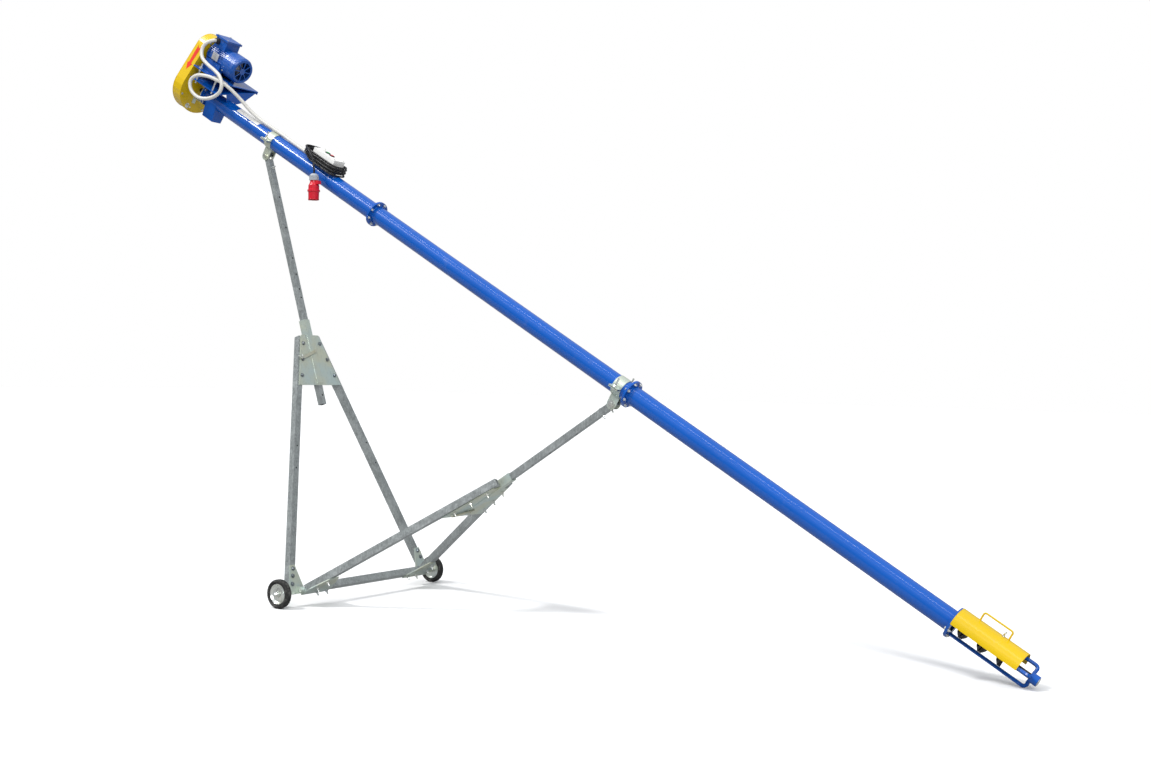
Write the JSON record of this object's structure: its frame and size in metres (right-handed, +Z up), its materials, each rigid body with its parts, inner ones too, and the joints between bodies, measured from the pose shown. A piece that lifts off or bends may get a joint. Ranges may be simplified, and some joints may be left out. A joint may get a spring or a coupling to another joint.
{
  "type": "grain auger",
  "caption": "Mobile inclined screw conveyor for grain: motor-driven auger tube on a folding two-wheeled A-frame carriage, with discharge spout and caged intake.",
  "frame": {"origin": "on the ground under the centre of the machine's bounding box", "axes": "+X along the machine towards the intake, +Y across it, +Z up"},
  "size_m": [5.5512, 1.358, 3.4522],
  "materials": {
    "blue_paint": "gloss mid-blue paint on steel",
    "motor_paint": "gloss blue paint on cast aluminium",
    "yellow_paint": "gloss yellow paint on sheet steel",
    "galvanised": "hot-dip galvanised steel, dull grey",
    "zinc_plate": "zinc-plated steel, pale",
    "bare_steel": "plain steel",
    "black_steel": "black steel",
    "tyre_rubber": "black rubber",
    "black_rubber": "black rubber",
    "grey_plastic": "light grey plastic",
    "white_plastic": "off-white plastic",
    "red_plastic": "red plastic",
    "green_plastic": "green plastic",
    "black_plastic": "black plastic"
  },
  "bodies": {
    "carriage": {"rear_leg_near": "galvanised", "rear_leg_far": "galvanised", "rear_apex_plate": "zinc_plate", "foot_bracket_near": "zinc_plate", "foot_bracket_far": "zinc_plate"},
    "rear_mast": {"rear_mast": "galvanised", "upper_pivot_pin": "bare_steel"},
    "front_frame": {"front_leg_near": "galvanised", "front_leg_far": "galvanised", "cross_beam": "galvanised", "front_apex_plate": "zinc_plate", "corner_gusset_near": "zinc_plate", "corner_gusset_far": "zinc_plate", "fold_bolt_near": "bare_steel", "fold_bolt_far": "bare_steel"},
    "front_mast": {"front_mast": "galvanised", "lower_pivot_pin": "bare_steel"},
    "rear_lock_pin": {"rear_lock_pin": "zinc_plate"},
    "front_lock_pin": {"front_lock_pin": "zinc_plate"},
    "wheel_near": {"tyre_near": "tyre_rubber", "wheel_disc_near": "zinc_plate"},
    "wheel_far": {"tyre_far": "tyre_rubber", "wheel_disc_far": "zinc_plate"},
    "auger": {"head_tube": "blue_paint", "middle_tube": "blue_paint", "lower_tube": "blue_paint", "head_bearing": "zinc_plate", "intake_cage": "blue_paint", "intake_bearing": "bare_steel", "upper_clamp_strap": "zinc_plate", "upper_clamp_saddle": "zinc_plate", "lower_clamp_strap": "zinc_plate", "lower_clamp_saddle": "zinc_plate", "motor_saddle": "blue_paint", "motor_platform": "blue_paint", "tension_bolt_1": "zinc_plate", "tension_bolt_2": "zinc_plate", "guard_back_plate": "yellow_paint", "guard_cover": "yellow_paint", "motor_stator": "motor_paint", "terminal_box": "motor_paint", "fan_cover": "blue_paint", "drive_belt": "black_rubber", "switch_box": "white_plastic", "conduit": "grey_plastic", "cable_gland": "black_plastic", "supply_cable": "black_rubber", "plug_cap": "grey_plastic", "plug_body": "red_plastic"},
    "screw": {"screw_shaft": "black_steel", "screw_flight": "black_steel", "screw_pulley": "galvanised"},
    "rotor": {"rotor_shaft": "bare_steel", "motor_pulley": "galvanised", "cooling_fan": "black_plastic"},
    "intake_cover": {"intake_cover": "yellow_paint"},
    "start_button": {"start_button": "green_plastic"},
    "stop_button": {"stop_button": "red_plastic"}
  },
  "joints": [
    {"name": "rear_mast_slide", "type": "slide", "parent": "carriage", "child": "rear_mast", "axis": [-0.3126, 0, 0.9499], "range_m": [-0.5, 0.1]},
    {"name": "auger_tilt", "type": "hinge", "parent": "rear_mast", "child": "auger", "pos_m": [-1.99953, 0, 2.63311], "axis": [0, -1, 0], "range_deg": [-1.2, 5.75]},
    {"name": "front_frame_fold", "type": "hinge", "parent": "carriage", "child": "front_frame", "pos_m": [-1.10921, 0, 0.09], "axis": [0, -1, 0], "range_deg": [-9.4, 1.9]},
    {"name": "front_mast_slide", "type": "slide", "parent": "front_frame", "child": "front_mast", "axis": [0.8418, 0, 0.5399], "range_m": [-0.03, 0.148]},
    {"name": "rear_pin_slide", "type": "slide", "parent": "carriage", "child": "rear_lock_pin", "axis": [0.9499, 0, 0.3126], "range_m": [0, 0.05]},
    {"name": "front_pin_slide", "type": "slide", "parent": "front_frame", "child": "front_lock_pin", "axis": [0.5399, 0, -0.8418], "range_m": [0, 0.05]},
    {"name": "wheel_near_spin", "type": "hinge", "parent": "carriage", "child": "wheel_near", "pos_m": [-1.15921, -0.652, 0.08], "axis": [0, 1, 0], "continuous": true},
    {"name": "wheel_far_spin", "type": "hinge", "parent": "carriage", "child": "wheel_far", "pos_m": [-1.15921, 0.652, 0.08], "axis": [0, 1, 0], "continuous": true},
    {"name": "screw_spin", "type": "hinge", "parent": "auger", "child": "screw", "pos_m": [-1.15921, 0, 2.26984], "axis": [0.8691, 0, -0.4947], "continuous": true},
    {"name": "motor_spin", "type": "hinge", "parent": "auger", "child": "rotor", "pos_m": [-1.03306, 0, 2.49145], "axis": [0.8691, 0, -0.4947], "continuous": true},
    {"name": "cover_slide", "type": "slide", "parent": "auger", "child": "intake_cover", "axis": [-0.8691, 0, 0.4947], "range_m": [0, 0.33]},
    {"name": "start_press", "type": "slide", "parent": "auger", "child": "start_button", "axis": [-0.4947, 0, -0.8691], "range_m": [0, 0.004], "stiffness_N_per_m": 400},
    {"name": "stop_press", "type": "slide", "parent": "auger", "child": "stop_button", "axis": [-0.4947, 0, -0.8691], "range_m": [0, 0.004], "stiffness_N_per_m": 400}
  ],
  "couplings": [
    {"joint": "auger_tilt", "follows": "rear_mast_slide", "rad_per_m": -0.19808},
    {"joint": "front_frame_fold", "follows": "rear_mast_slide", "rad_per_m": 0.31797},
    {"joint": "front_mast_slide", "follows": "rear_mast_slide", "ratio": -0.2941},
    {"joint": "motor_spin", "follows": "screw_spin", "ratio": 2.5}
  ]
}
